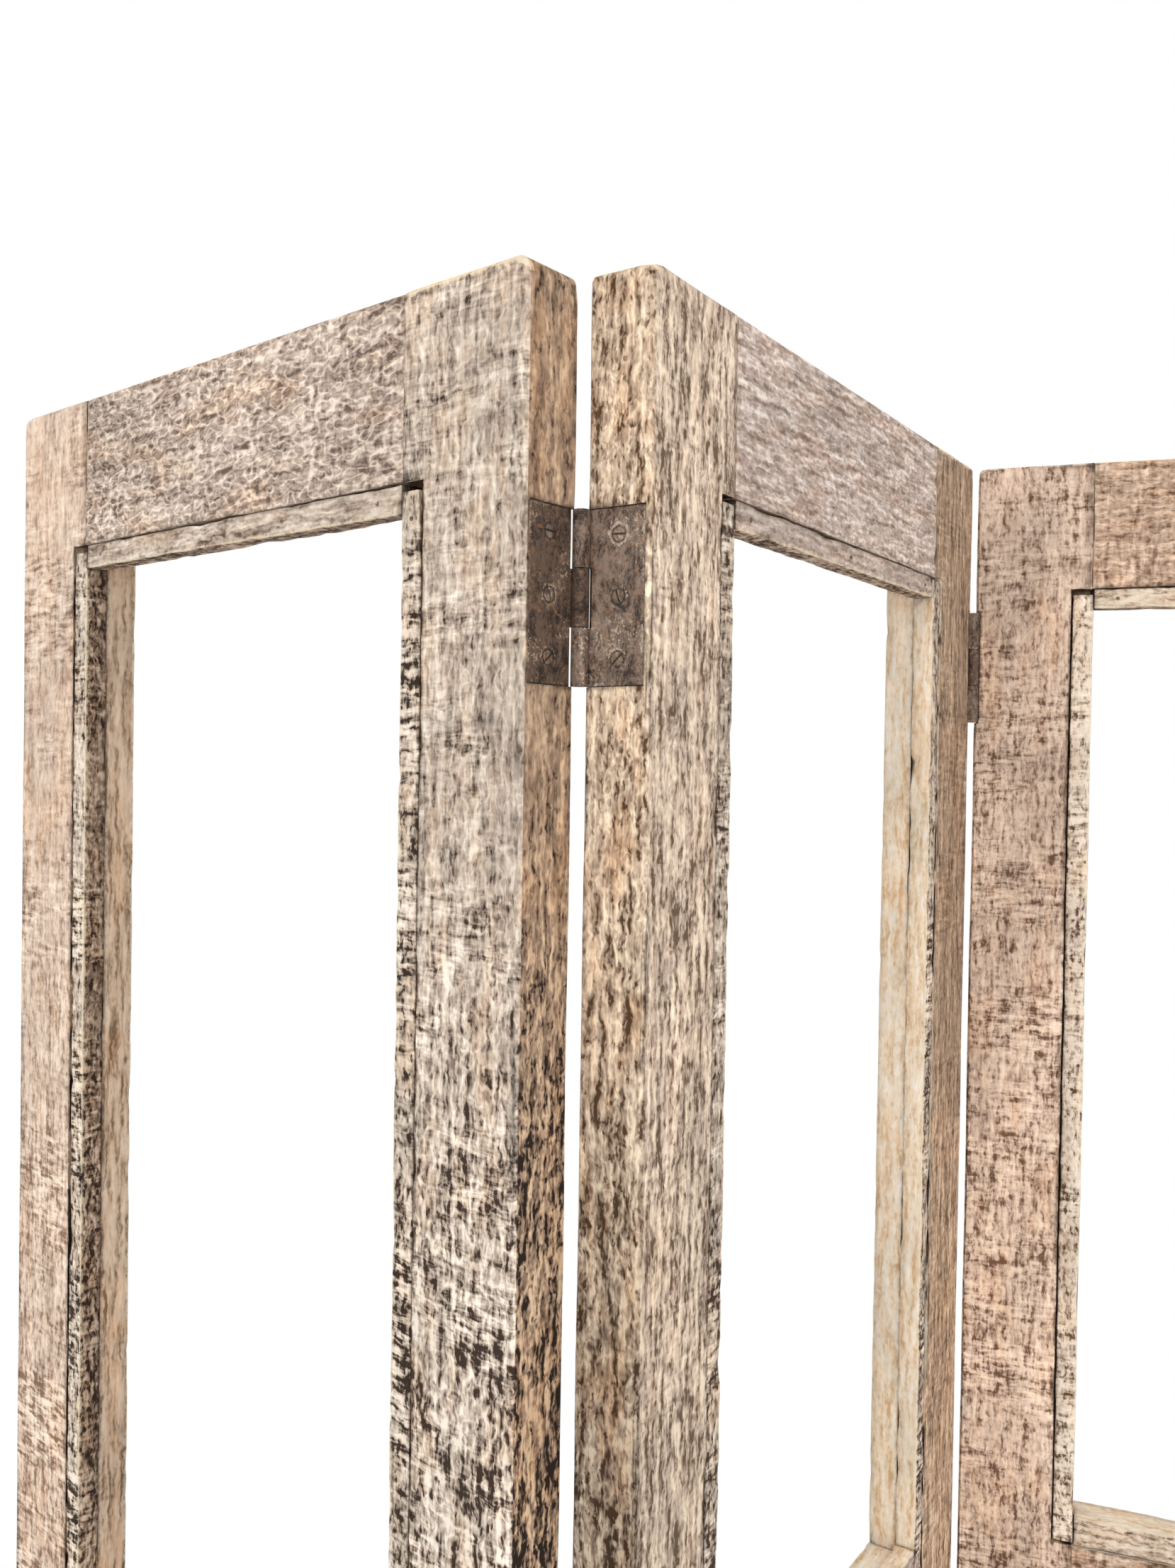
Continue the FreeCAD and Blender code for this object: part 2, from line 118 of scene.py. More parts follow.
def hang_lamp(name, spot, target, size, watts):
    lamp = bpy.data.objects.new(name, bpy.data.lights.new(name, "AREA"))
    lamp.data.shape = "SQUARE"
    lamp.data.size = size
    lamp.data.energy = watts
    lamp.location = spot
    lamp.rotation_euler = (Vector(target) - Vector(spot)).to_track_quat("-Z", "Y").to_euler()
    bpy.context.scene.collection.objects.link(lamp)


def light_studio():
    """Soft even daylight, a little stronger from the front left, before a white backdrop."""
    world = bpy.data.worlds.new("studio")
    world.use_nodes = True
    tree = world.node_tree
    tree.nodes.clear()
    sky = place(tree, "ShaderNodeBackground", {"Color": (1, 0.985, 0.965, 1), "Strength": 0.80})
    backdrop = place(tree, "ShaderNodeBackground", {"Color": (1, 1, 1, 1), "Strength": 1})
    seen = place(tree, "ShaderNodeMixShader", {0: looked_at(tree), 1: sky.outputs[0], 2: backdrop.outputs[0]})
    place(tree, "ShaderNodeOutputWorld", {"Surface": seen.outputs[0]})
    bpy.context.scene.world = world
    hang_lamp("key_lamp", (-1.7, -2.2, 2.3), (0, 0, 1.2), 1.6, 26)
    hang_lamp("fill_lamp", (2.2, -1.9, 1.7), (0, 0, 1.0), 1.8, 24)
    bpy.context.scene.view_settings.view_transform = "Standard"


def looked_at(tree):
    """1 on what the camera sees, in a mirror or through glass too."""
    rays = place(tree, "ShaderNodeLightPath")
    straight = maths(tree, "ADD", rays.outputs["Is Camera Ray"], rays.outputs["Is Glossy Ray"])
    return maths(tree, "ADD", straight, rays.outputs["Is Transmission Ray"], clamp=True)


def lay_floor():
    """A pale round floor that fades to the white backdrop at its rim."""
    bm = bmesh.new()
    bmesh.ops.create_circle(bm, cap_ends=True, segments=96, radius=FLOOR_RADIUS)
    floor = piece_from(bm, "floor")
    floor.data.materials.append(floor_material())


def floor_material():
    material, tree, shader = new_material("pale_floor")
    shader.inputs["Base Color"].default_value = (0.80, 0.79, 0.78, 1)
    shader.inputs["Roughness"].default_value = 0.9
    rim = place(tree, "ShaderNodeVectorMath", {0: object_coordinates(tree)}, operation="LENGTH")
    fade = ranged(tree, rim.outputs["Value"], 0.9, 1.5, 0, 1)
    glow = place(tree, "ShaderNodeEmission", {"Color": (1, 1, 1, 1), "Strength": 1})
    share = maths(tree, "MULTIPLY", fade, looked_at(tree))
    mixed = place(tree, "ShaderNodeMixShader", {0: share, 1: shader.outputs[0], 2: glow.outputs[0]})
    tree.links.new(mixed.outputs[0], tree.nodes["Material Output"].inputs["Surface"])
    return material


# Small helpers for nodes and meshes


def place(tree, kind, inputs=None, **settings):
    """Adds a node, sets its options, and links or sets its inputs."""
    node = tree.nodes.new(kind)
    for name, value in settings.items():
        setattr(node, name, value)
    for socket, value in (inputs or {}).items():
        if isinstance(value, bpy.types.NodeSocket):
            tree.links.new(value, node.inputs[socket])
        else:
            node.inputs[socket].default_value = value
    return node


def maths(tree, operation, *values, clamp=False):
    inputs = dict(enumerate(values))
    return place(tree, "ShaderNodeMath", inputs, operation=operation, use_clamp=clamp).outputs[0]


def ranged(tree, value, low, high, to_low, to_high):
    inputs = {"Value": value, "From Min": low, "From Max": high, "To Min": to_low, "To Max": to_high}
    return place(tree, "ShaderNodeMapRange", inputs, interpolation_type="SMOOTHSTEP").outputs[0]


def blended(tree, share, first, second, blend="MIX"):
    node = place(tree, "ShaderNodeMix", data_type="RGBA", blend_type=blend)
    for socket, value in ((0, share), (6, first), (7, second)):
        if isinstance(value, bpy.types.NodeSocket):
            tree.links.new(value, node.inputs[socket])
        else:
            node.inputs[socket].default_value = value
    return node.outputs[2]


def noise_on(
    tree, vector, scale, stretch=(1, 1, 1), detail=2.0, roughness=0.5, distortion=0.0, shift=(0, 0, 0)
):
    mapped = place(tree, "ShaderNodeMapping", {"Vector": vector, "Scale": stretch, "Location": shift})
    inputs = {
        "Vector": mapped.outputs[0],
        "Scale": scale,
        "Detail": detail,
        "Roughness": roughness,
        "Distortion": distortion,
    }
    return place(tree, "ShaderNodeTexNoise", inputs).outputs


def object_coordinates(tree):
    return place(tree, "ShaderNodeTexCoord").outputs["Object"]


def new_material(name):
    material = bpy.data.materials.new(name)
    material.use_nodes = True
    tree = material.node_tree
    return material, tree, tree.nodes["Principled BSDF"]


def new_group(name, inputs, outputs):
    """A shader node group with named sockets: vector, value and colour."""
    kinds = {"vector": "NodeSocketVector", "value": "NodeSocketFloat", "colour": "NodeSocketColor"}
    tree = bpy.data.node_groups.new(name, "ShaderNodeTree")
    for socket, kind in inputs.items():
        tree.interface.new_socket(name=socket, in_out="INPUT", socket_type=kinds[kind])
    for socket, kind in outputs.items():
        tree.interface.new_socket(name=socket, in_out="OUTPUT", socket_type=kinds[kind])
    return tree, tree.nodes.new("NodeGroupInput").outputs, tree.nodes.new("NodeGroupOutput").inputs


def piece_from(bm, name):
    """A new object at the origin with this mesh."""
    mesh = bpy.data.meshes.new(name)
    bm.to_mesh(mesh)
    bm.free()
    piece = bpy.data.objects.new(name, mesh)
    bpy.context.scene.collection.objects.link(piece)
    return piece


# Finishes


def make_hewn_relief():
    """A limed rough surface: dark cells in a cream net, pits, threads along the grain, saw marks across."""
    tree, given, result = new_group(
        "hewn_relief",
        {"Board": "vector", "Cells": "value", "Worms": "value", "Pits": "value", "Threads": "value",
         "Saw marks": "value", "Contrast": "value"},
        {"Height": "value", "Patch": "value", "Warm": "value"},
    )
    board = given["Board"]
    bend = noise_on(tree, board, 120, detail=2)["Color"]
    bend = place(tree, "ShaderNodeVectorMath", {0: bend, 1: (0.5, 0.5, 0.5)}, operation="SUBTRACT")
    bend = place(tree, "ShaderNodeVectorMath", {0: bend.outputs[0], "Scale": 0.004}, operation="SCALE")
    bent = place(tree, "ShaderNodeVectorMath", {0: board, 1: bend.outputs[0]}, operation="ADD").outputs[0]

    cells = centred(tree, noise_on(tree, bent, 340, (1, 1, 0.5), 1.5, 0.65, shift=(3, 5, 7))["Fac"], 5.0)
    mottle = centred(tree, noise_on(tree, board, 70, (1, 1, 0.4), 4, 0.9, shift=(8, 2, 3))["Fac"], 1.5)
    cells = maths(tree, "MULTIPLY", maths(tree, "ADD", cells, mottle), given["Cells"])

    lines = noise_on(tree, bent, 190, (1, 1, 0.6), 0.3, 0.5, 0.3, (7, 1, 2))["Fac"]
    lines = maths(tree, "ABSOLUTE", maths(tree, "SUBTRACT", lines, 0.5))
    worms = maths(tree, "MULTIPLY", ranged(tree, lines, 0.02, 0.09, 1.0, -0.5), given["Worms"])

    pits = noise_on(tree, bent, 330, (1, 1, 0.45), 2, 0.7, shift=(5, 8, 1))["Fac"]
    crowd = noise_on(tree, board, 40, (1, 1, 0.4), 3, 0.7, shift=(1, 4, 9))["Fac"]
    pits = maths(tree, "ADD", pits, ranged(tree, crowd, 0.35, 0.65, -0.06, 0.06))
    pits = maths(tree, "MULTIPLY", ranged(tree, pits, 0.36, 0.47, 1.0, 0.0), given["Pits"])

    threads = centred(tree, noise_on(tree, bent, 260, (1, 1, 0.12), 2, 0.7, shift=(1, 2, 3))["Fac"], 6.5)
    threads = maths(tree, "MULTIPLY", threads, given["Threads"])

    sawn = centred(tree, noise_on(tree, bent, 280, (0.2, 0.2, 1), 2, 0.7, shift=(9, 4, 1))["Fac"], 6.5)
    where = noise_on(tree, board, 20, (0.35, 0.35, 1), 3, 0.7, shift=(2, 8, 5))["Fac"]
    sawn = maths(tree, "MULTIPLY", sawn, ranged(tree, where, 0.4, 0.6, 0.2, 1.25))
    sawn = maths(tree, "MULTIPLY", sawn, given["Saw marks"])

    height = maths(tree, "ADD", maths(tree, "ADD", cells, worms), maths(tree, "ADD", threads, sawn))
    height = maths(tree, "SUBTRACT", height, pits)
    height = maths(tree, "MULTIPLY_ADD", height, given["Contrast"], 0.5)
    tree.links.new(height, result["Height"])
    patch = noise_on(tree, board, 22, (1, 1, 0.35), 4, 0.75, shift=(6, 1, 4))["Fac"]
    tree.links.new(patch, result["Patch"])
    warm = noise_on(tree, board, 50, (1, 1, 0.35), 4, 0.7, shift=(4, 9, 2))["Fac"]
    tree.links.new(warm, result["Warm"])
    return tree


def make_edge_wear_highlight_and_shade():
    """Pale along the free arrises, rubbed lime and a painted highlight; dark where two pieces meet, grime and
    painted shade in the gap.
    """
    tree, given, result = new_group(
        "edge_wear_highlight_and_shade",
        {"Board": "vector", "Arris": "value", "Seam": "value"},
        {"Wear_and_highlight": "value", "Seam_dirt_and_shade": "value"},
    )
    ragged = noise_on(tree, given["Board"], 160, detail=3, roughness=0.7)["Fac"]
    # The pale arris: rubbed lime, and a painted highlight along the arris
    reach = ranged(tree, ragged, 0.35, 0.7, 0.0002, 0.0034)
    worn_and_highlit = maths(tree, "SUBTRACT", 1.0, maths(tree, "DIVIDE", given["Arris"], reach), clamp=True)
    worn_and_highlit = maths(tree, "MULTIPLY", worn_and_highlit, ranged(tree, given["Seam"], 0.002, 0.005, 0, 1))
    tree.links.new(worn_and_highlit, result["Wear_and_highlight"])
    # The dark seam: grime, and painted shade in the gap between pieces
    depth = ranged(tree, ragged, 0.3, 0.65, 0.0007, 0.0026)
    dirt_and_shade = maths(tree, "SUBTRACT", 1.3, maths(tree, "DIVIDE", given["Seam"], depth), clamp=True)
    tree.links.new(dirt_and_shade, result["Seam_dirt_and_shade"])
    return tree


def colour(red, green, blue):
    """A paint colour given in screen values from 0 to 255."""
    def linear(value):
        share = value / 255
        return share / 12.92 if share <= 0.04045 else ((share + 0.055) / 1.055) ** 2.4
    return (linear(red), linear(green), linear(blue), 1)


def attribute(tree, name, output):
    return place(tree, "ShaderNodeAttribute", attribute_name=name).outputs[output]


def centred(tree, value, gain):
    """Spreads a noise value about zero."""
    return maths(tree, "MULTIPLY_ADD", value, gain, -gain / 2)


def limed_wood(
    name, tones, relief_depths, contrast, fade=(1, 1), worn_and_highlit=(238, 222, 194), amber=0.3, dirt_and_shade=0.75
):
    """Rough wood, limed and rubbed back. The tones are the pits, the body and the lime.

    Contrast and fade are given for the top of the screen and for its lower part. The arris colour is that
    of rubbed lime and of a painted highlight. Amber says how strong the warm stain gets, and the seam
    setting how strong the grime and painted shade in the seams get."""
    material, tree, shader = new_material(name)
    board = attribute(tree, "board", "Vector")
    relief = place(tree, "ShaderNodeGroup", node_tree=HEWN_RELIEF)
    tree.links.new(board, relief.inputs["Board"])
    for socket, depth in zip(("Cells", "Worms", "Pits", "Threads", "Saw marks"), relief_depths):
        relief.inputs[socket].default_value = depth
    level = place(tree, "ShaderNodeSeparateXYZ", {0: object_coordinates(tree)}).outputs[2]
    strength = ranged(tree, level, FADE_FOOT, FADE_TOP, contrast[1], contrast[0])
    tree.links.new(strength, relief.inputs["Contrast"])
    edge = place(tree, "ShaderNodeGroup", node_tree=EDGE_WEAR_HIGHLIGHT_AND_SHADE)
    tree.links.new(board, edge.inputs["Board"])
    tree.links.new(attribute(tree, "arris", "Fac"), edge.inputs["Arris"])
    tree.links.new(attribute(tree, "seam", "Fac"), edge.inputs["Seam"])

    height = relief.outputs["Height"]
    ramp = place(tree, "ShaderNodeValToRGB", {"Fac": height})
    pit, body, lime = (colour(*tone) for tone in tones)
    ends = ramp.color_ramp.elements
    ends[0].position, ends[0].color = 0.05, pit
    ends[1].position, ends[1].color = 0.95, lime
    ends.new(0.5).color = body
    paint = ramp.outputs["Color"]
    warmth = ranged(tree, relief.outputs["Warm"], 0.46, 0.66, 0, amber)
    paint = blended(tree, warmth, paint, blended(tree, 1.0, paint, colour(255, 220, 180), "MULTIPLY"))
    shade = ranged(tree, relief.outputs["Patch"], 0.3, 0.7, 0.86, 1.1)
    # The tone attribute darkens and lightens the paint: patches with painted shade and a painted sheen among
    # them, and painted shade along back arrises
    shade = maths(tree, "MULTIPLY", shade, attribute(tree, "tone", "Fac"))
    faded = ranged(tree, level, FADE_FOOT, FADE_TOP, fade[1], fade[0])
    shade = maths(tree, "MULTIPLY", shade, faded)
    shade = place(tree, "ShaderNodeCombineColor", {"Red": shade, "Green": shade, "Blue": shade})
    paint = blended(tree, 1.0, paint, shade.outputs[0], "MULTIPLY")
    # Pale arrises: rubbed lime and a painted highlight
    paint = blended(tree, maths(tree, "MULTIPLY", edge.outputs["Wear_and_highlight"], 0.8), paint, colour(*worn_and_highlit))
    # Dark seams: grime and painted shade in the gaps
    paint = blended(tree, maths(tree, "MULTIPLY", edge.outputs["Seam_dirt_and_shade"], dirt_and_shade), paint, colour(62, 48, 38))
    tree.links.new(paint, shader.inputs["Base Color"])

    tree.links.new(ranged(tree, height, 0.1, 0.9, 0.92, 0.66), shader.inputs["Roughness"])
    low = maths(tree, "SUBTRACT", height, edge.outputs["Seam_dirt_and_shade"])
    bump = place(tree, "ShaderNodeBump", {"Strength": 0.5, "Distance": 0.0008, "Height": low})
    tree.links.new(bump.outputs[0], shader.inputs["Normal"])
    shader.inputs["Specular IOR Level"].default_value = 0.3
    return material


def old_iron(name, dark, body, crust, gloss, rimmed=True):
    """Old iron under brown paint and grime: mottled, pitted, with pale crusts of lime, and near black close
    to the rim, which is painted shade.
    """
    material, tree, shader = new_material(name)
    spot = object_coordinates(tree)
    mottle = noise_on(tree, spot, 140, (1, 1, 0.6), 5, 0.9, 0.4)["Fac"]
    ramp = place(tree, "ShaderNodeValToRGB", {"Fac": mottle})
    ends = ramp.color_ramp.elements
    ends[0].position, ends[0].color = 0.40, colour(*dark)
    ends[1].position, ends[1].color = 0.57, colour(*body)
    grit = noise_on(tree, spot, 520, detail=4, roughness=0.85, shift=(3, 1, 2))["Fac"]
    crowd = noise_on(tree, spot, 50, detail=2, shift=(6, 2, 1))["Fac"]
    rim = attribute(tree, "rim", "Fac") if rimmed else 1.0
    ring_inside = ranged(tree, rim, 0.0008, 0.0014, 0, 1)
    ring_outside = ranged(tree, rim, 0.0016, 0.003, 0.1, 0)
    ring = maths(tree, "MULTIPLY", ring_inside, ring_outside)
    crusted = maths(tree, "ADD", grit, ranged(tree, crowd, 0.4, 0.65, -0.08, 0.06))
    crusted = maths(tree, "ADD", crusted, ring)
    paint = blended(tree, ranged(tree, crusted, 0.56, 0.68, 0, 0.8), ramp.outputs["Color"], colour(*crust))
    rust = noise_on(tree, spot, 300, detail=3, roughness=0.7, shift=(1, 7, 4))["Fac"]
    paint = blended(tree, ranged(tree, rust, 0.57, 0.66, 0, 0.55), paint, colour(158, 112, 74))
    # Painted shade: near black within about a millimetre of the rim, along a leaf's border, in a ring round
    # each screw head and in the screw slots
    ragged = maths(tree, "ADD", rim, ranged(tree, grit, 0.3, 0.7, 0.0008, -0.0008))
    paint = blended(tree, ranged(tree, ragged, 0.0002, 0.0014, 0.85, 0), paint, colour(28, 20, 16))
    tree.links.new(paint, shader.inputs["Base Color"])
    tree.links.new(ranged(tree, grit, 0.35, 0.65, gloss, gloss + 0.3), shader.inputs["Roughness"])
    height = maths(tree, "ADD", mottle, maths(tree, "MULTIPLY", grit, 0.6))
    bump = place(tree, "ShaderNodeBump", {"Strength": 0.7, "Distance": 0.0009, "Height": height})
    tree.links.new(bump.outputs[0], shader.inputs["Normal"])
    shader.inputs["Metallic"].default_value = 0.25
    return material


HEWN_RELIEF = make_hewn_relief()
EDGE_WEAR_HIGHLIGHT_AND_SHADE = make_edge_wear_highlight_and_shade()

GOLDEN = (208, 166, 118)

# Relief depths are those of the cells, worms, pits, threads and saw marks
WOOD_FINISHES = {
    "left_stile": {
        "tones": ((56, 42, 33), (194, 177, 161), (252, 240, 224)),
        "relief_depths": (0.22, 0.16, 0.3, 0.34, 0.34), "contrast": (0.52, 1.12),
    },
    "left_outer_stile": {
        "tones": ((136, 108, 88), (214, 191, 172), (250, 232, 212)),
        "relief_depths": (0.18, 0.06, 0.2, 0.2, 0.36), "contrast": (0.7, 1.2),
    },
    "left_rail": {
        "tones": ((104, 88, 78), (190, 171, 157), (248, 231, 214)),
        "relief_depths": (0.26, 0.22, 0.2, 0.2, 0.14), "contrast": (0.9, 1.05),
        "dirt_and_shade": 0.4,
    },
    "left_edge": {
        "tones": ((38, 26, 18), (170, 142, 118), (240, 208, 172)),
        "relief_depths": (0.28, 0.06, 0.4, 0.34, 0.04), "contrast": (0.55, 1.6),
        "fade": (1.0, 0.8), "worn_and_highlit": GOLDEN, "amber": 0.35,
    },
    "left_stop": {
        "tones": ((52, 38, 28), (200, 184, 167), (248, 234, 218)),
        "relief_depths": (0.24, 0.06, 0.34, 0.16, 0.4), "contrast": (1.0, 1.2),
    },
    "left_bar": {
        "tones": ((92, 76, 64), (194, 177, 161), (248, 234, 218)),
        "relief_depths": (0.2, 0.06, 0.2, 0.3, 0.08), "contrast": (0.75, 0.9),
        "dirt_and_shade": 0.4,
    },
    "middle_stile": {
        "tones": ((104, 84, 66), (203, 182, 164), (252, 232, 205)),
        "relief_depths": (0.2, 0.1, 0.28, 0.36, 0.1), "contrast": (0.9, 1.1),
        "fade": (1.04, 0.86), "amber": 0.15,
    },
    "middle_outer_stile": {
        "tones": ((84, 66, 50), (160, 135, 113), (216, 188, 160)),
        "relief_depths": (0.2, 0.04, 0.2, 0.3, 0.16), "contrast": (0.7, 0.9),
        "fade": (1, 1.28),
    },
    "middle_rail": {
        "tones": ((128, 110, 98), (186, 168, 158), (240, 228, 220)),
        "relief_depths": (0.22, 0.1, 0.1, 0.3, 0.06), "contrast": (0.9, 1.0),
        "dirt_and_shade": 0.3,
    },
    "middle_edge": {
        "tones": ((80, 58, 38), (190, 168, 146), (250, 230, 202)),
        "relief_depths": (0.24, 0.1, 0.34, 0.34, 0.03), "contrast": (0.85, 1.25),
        "fade": (1.18, 0.6), "worn_and_highlit": GOLDEN, "amber": 0.45,
    },
    "middle_stop": {
        "tones": ((58, 44, 32), (180, 163, 147), (238, 224, 206)),
        "relief_depths": (0.24, 0.06, 0.35, 0.16, 0.36), "contrast": (0.9, 1.2),
    },
    "middle_bar": {
        "tones": ((112, 95, 84), (178, 161, 150), (228, 213, 202)),
        "relief_depths": (0.2, 0.06, 0.2, 0.3, 0.06), "contrast": (0.7, 0.9),
        "dirt_and_shade": 0.25,
    },
    "right_stile": {
        "tones": ((112, 82, 64), (217, 191, 171), (252, 228, 204)),
        "relief_depths": (0.2, 0.08, 0.24, 0.24, 0.26), "contrast": (0.85, 1.0),
        "fade": (0.96, 1.15),
    },
    "right_rail": {
        "tones": ((112, 84, 66), (190, 162, 140), (244, 216, 192)),
        "relief_depths": (0.2, 0.08, 0.2, 0.18, 0.2), "contrast": (1.0, 1.2),
    },
    "right_edge": {
        "tones": ((92, 68, 50), (184, 156, 132), (236, 208, 180)),
        "relief_depths": (0.24, 0.08, 0.3, 0.3, 0.03), "contrast": (1.0, 1.1),
        "amber": 0.4,
    },
    "right_stop": {
        "tones": ((98, 72, 52), (236, 218, 199), (254, 244, 228)),
        "relief_depths": (0.22, 0.06, 0.3, 0.14, 0.26), "contrast": (0.85, 1.05),
    },
    "right_bar": {
        "tones": ((112, 86, 66), (226, 206, 184), (252, 242, 226)),
        "relief_depths": (0.2, 0.06, 0.2, 0.24, 0.06), "contrast": (0.75, 0.9),
        "dirt_and_shade": 0.5,
    },
    # A darker copy for the sides and tops of the stops: painted shade
    "stop_side": {
        "tones": ((48, 32, 22), (146, 123, 103), (212, 190, 168)),
        "relief_depths": (0.3, 0.12, 0.4, 0.2, 0.24), "contrast": (1.0, 1.25),
    },
    "reveal": {
        "tones": ((130, 106, 86), (210, 185, 160), (230, 208, 186)),
        "relief_depths": (0.12, 0, 0.05, 0.42, 0.05), "contrast": (0.8, 1.0),
        "amber": 0.45,
    },
    # A lit copy of the reveal: painted light on faces turned up and towards the lamps
    "painted_lit_reveal": {
        "tones": ((214, 180, 140), (244, 226, 200), (254, 246, 234)),
        "relief_depths": (0.2, 0, 0.05, 0.3, 0.05), "contrast": (1.0, 1.0),
        "dirt_and_shade": 0.3,
    },
    "bare_top": {
        "tones": ((196, 154, 106), (238, 200, 152), (254, 234, 198)),
        "relief_depths": (0.26, 0, 0.1, 0.26, 0.05), "contrast": (0.8, 0.8),
        "amber": 0.5,
    },
}
WOODS = {name: limed_wood(f"{name}_wood", **finish) for name, finish in WOOD_FINISHES.items()}
LEAF_IRON = {
    "outer": old_iron("outer_leaf_iron", (40, 27, 20), (106, 84, 69), (190, 166, 142), 0.5),
    "inner": old_iron("inner_leaf_iron", (56, 42, 34), (148, 126, 110), (216, 196, 174), 0.5),
}
PIN_IRON = old_iron("pin_iron", (44, 34, 28), (92, 76, 64), (140, 120, 104), 0.45, rimmed=False)
SCREW_IRON = old_iron("screw_iron", (70, 54, 44), (142, 120, 102), (214, 196, 174), 0.45)


# Boards: the CAD solids hewn by hand


def middle_of(node):
    low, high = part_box(node)
    return (low + high) / 2


def stand_of(panel):
    """The panel's own place: across from its left edge, back from its front face, up from the floor."""
    left, right = (middle_of(f"{panel}_panel_{side}_stile") for side in ("left", "right"))
    across = (right - left).normalized()
    turn = Matrix((across, UP.cross(across), UP)).transposed().to_4x4()
    corners = [turn.inverted() @ v.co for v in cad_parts[f"{panel}_panel_left_stile"].data.vertices]
    low = Vector(min(corner[axis] for corner in corners) for axis in range(3))
    return Matrix.Translation(turn @ low) @ turn


def clean_copy(node, stand):
    """The node's shape in its panel's own place, with whole faces in place of loose triangles."""
    bm = bmesh.new()
    bm.from_mesh(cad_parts[node].data)
    bmesh.ops.remove_doubles(bm, verts=bm.verts, dist=0.01 * MM)
    bmesh.ops.transform(bm, matrix=stand.inverted(), verts=bm.verts)
    bmesh.ops.dissolve_limit(bm, angle_limit=math.radians(1), verts=bm.verts, edges=bm.edges)
    return bm


def sharp_edges(bm, shortest=0.0):
    """Outward corners of at least this length."""
    corners = [edge for edge in bm.edges if edge.is_manifold and edge.is_convex]
    return [edge for edge in corners if edge.calc_face_angle() > 0.6 and edge.calc_length() >= shortest]


def divide(bm, along, lengthways, across):
    """Cuts a shape by evenly spaced planes, so that a hand tool's marks can bend it."""
    bmesh.ops.connect_verts_concave(bm, faces=bm.faces)
    for axis in sorted(range(3), key=lambda axis: axis != along):
        low, high = min(v.co[axis] for v in bm.verts), max(v.co[axis] for v in bm.verts)
        count = max(1, round((high - low) / (lengthways if axis == along else across)))
        direction = Vector(1.0 if other == axis else 0.0 for other in range(3))
        for index in range(1, count):
            spot = direction * (low + (high - low) * index / count)
            geometry = bm.verts[:] + bm.edges[:] + bm.faces[:]
            bmesh.ops.bisect_plane(bm, geom=geometry, dist=0.02 * MM, plane_co=spot, plane_no=direction)


def nearest(bm, marks, most):
    """For each vertex, how far it is from the closest mark."""
    tree = kdtree.KDTree(len(marks))
    for index, mark in enumerate(marks):
        tree.insert(mark, index)
    tree.balance()
    return [min(most, tree.find(vertex.co)[2] if marks else most) for vertex in bm.verts]


def wavy(spot, seed, wander, chatter):
    """How far a hand tool left the surface from true at a point."""
    shift = Vector((seed * 3.7, seed * 1.9, seed * 5.3))
    slow = noise.noise(Vector((spot.x * 22, spot.y * 22, spot.z * 11)) + shift)
    quick = noise.noise(spot * 120 + shift)
    return wander * slow + chatter * quick


def shape_of(nodes):
    """One searchable surface of several CAD nodes."""
    corners, faces = [], []
    for node in nodes:
        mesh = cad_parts[node].data
        start = len(corners)
        corners += [v.co.copy() for v in mesh.vertices]
        faces += [tuple(start + index for index in polygon.vertices) for polygon in mesh.polygons]
    return BVHTree.FromPolygons(corners, faces)


def gaps_to(surface, spots, most):
    """How far each spot is from a surface, up to a limit."""
    found = (surface.find_nearest(spot, most)[3] for spot in spots)
    return [most if distance is None else distance for distance in found]


def toned(panel, spot):
    """The darker and paler patches of a panel's front at a point of it, painted shade and a painted sheen
    among them.
    """
    tone = 1.0
    for patched_panel, across, down, half_width, half_height, change in PATCHES_SHADE_AND_SHEEN:
        if patched_panel == panel:
            sideways = (spot.x / MM - across) / half_width
            upright = (TOP - spot.z) / MM / half_height - down / half_height
            tone += change * max(0.0, 1.0 - math.hypot(sideways, upright) ** 3)
    return tone


def back_arris_shade(spot, off_arris):
    """Painted shade along the back arrises of a board's sides, below the handled top."""
    return 0.74 if spot.y > 20 * MM and TOP - spot.z > 20 * MM and off_arris < 1.5 * MM else 1.0


def woods_for(panel, part):
    """The finish of a board's faces, outer side, inner side and top. The tops of the middle and bottom rails
    and of the sill stops, and the inner sides of the middle panel's right-hand pieces, take a lit copy of the
    reveal, painted light; the other sides and tops of the stops take a darker copy, painted shade.
    """
    kind = part.split("_")[-1]
    face = f"{panel}_{kind}"
    if (panel, part) in (("left", "left_stile"), ("middle", "right_stile")):
        face = f"{panel}_outer_stile"
    bright = panel == "middle" and "right" in part
    if "head" in part or "sill" in part:
        face = f"{panel}_bar"
    if kind == "stop":
        inner = "painted_lit_reveal" if bright else "stop_side"
        return face, "stop_side", inner, "painted_lit_reveal" if "sill" in part else "stop_side"
    top = "bare_top" if kind == "stile" or part == "top_rail" else "painted_lit_reveal"
    return face, f"{panel}_edge", "painted_lit_reveal" if bright else "reveal", top


def side_index(normal, inward):
    """Which of a board's four finishes a face takes."""
    across, through, up = abs(normal.x), abs(normal.y), abs(normal.z)
    if through >= max(across, up):
        return 0
    if up > across:
        return 3 if normal.z > 0 else 2
    return 2 if normal.x * inward > 0 else 1


